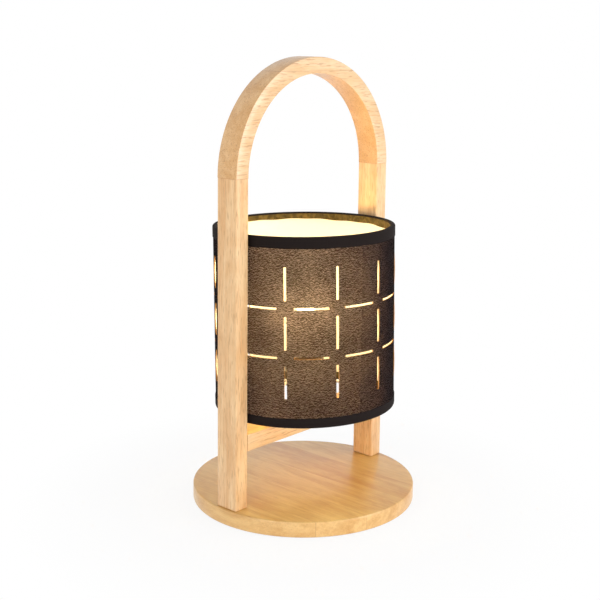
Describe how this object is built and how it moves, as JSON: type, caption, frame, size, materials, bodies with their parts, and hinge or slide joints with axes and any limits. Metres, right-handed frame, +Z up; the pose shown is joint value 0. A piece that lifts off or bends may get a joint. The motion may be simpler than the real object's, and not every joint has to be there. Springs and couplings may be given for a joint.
{
  "type": "bedside lamp",
  "caption": "Bedside lamp: round wooden base, two posts joined by a carrying arch, crossbar with lampholder, and a drum shade with a pattern of slits.",
  "frame": {"origin": "centre of the underside of the felt that the base rests on", "axes": "+Z up along the shade's axis, +X from the left post to the right post, -Y to the front"},
  "size_m": [0.2, 0.2, 0.396],
  "materials": {
    "base_wood": "satin lacquer",
    "post_wood": "satin lacquer",
    "arch_wood": "satin lacquer",
    "crossbar_wood": "satin lacquer",
    "tenon_wood": "plain",
    "felt": "matt",
    "plated_steel": "zinc plated",
    "brass": "bright",
    "black_plastic": "fine matt",
    "insulator": "unglazed",
    "shade_fabric": "crinkled fibre sheet",
    "edge_tape": "soft tape",
    "white_wire": "enamel",
    "clear_glass": "clear",
    "nickel_shell": "bright",
    "black_glass": "glossy",
    "solder": "dull",
    "filament": "phosphor coat",
    "lead_wire": "plain",
    "board": "printed board"
  },
  "bodies": {
    "stand": {"base_felt": "felt", "base_disc": "base_wood", "post_left": "post_wood", "post_right": "post_wood", "arch": "arch_wood", "crossbar": "crossbar_wood", "arch_tenons": "tenon_wood", "threaded_tube": "plated_steel", "tube_washer": "plated_steel", "tube_nut": "plated_steel", "cord_bush": "black_plastic", "holder_cap": "black_plastic", "holder_grub_screw": "plated_steel", "holder_skirt": "black_plastic", "holder_insert": "insulator", "centre_contact": "brass", "side_contact": "brass"},
    "ring_nut": {"ring_nut": "black_plastic"},
    "shade": {"shade_sheet": "shade_fabric", "shade_top_rim": "edge_tape", "shade_bottom_rim": "edge_tape", "shade_fitter": "white_wire"},
    "bulb": {"bulb_glass": "clear_glass", "bulb_cap": "nickel_shell", "bulb_cap_insulator": "black_glass", "bulb_cap_tip": "solder", "bulb_stem": "clear_glass", "bulb_filaments": "filament", "bulb_leads": "lead_wire", "bulb_driver_board": "board"}
  },
  "joints": [
    {"name": "ring_nut_turn", "type": "hinge", "parent": "stand", "child": "ring_nut", "pos_m": [0, 0, 0.1105], "axis": [0, 0, 1], "range_deg": [0, 1080]},
    {"name": "shade_turn", "type": "hinge", "parent": "stand", "child": "shade", "pos_m": [0, 0, 0.1105], "axis": [0, 0, 1], "continuous": true},
    {"name": "bulb_lift", "type": "slide", "parent": "stand", "child": "bulb", "axis": [0, 0, 1], "range_m": [0, 0.06]}
  ]
}
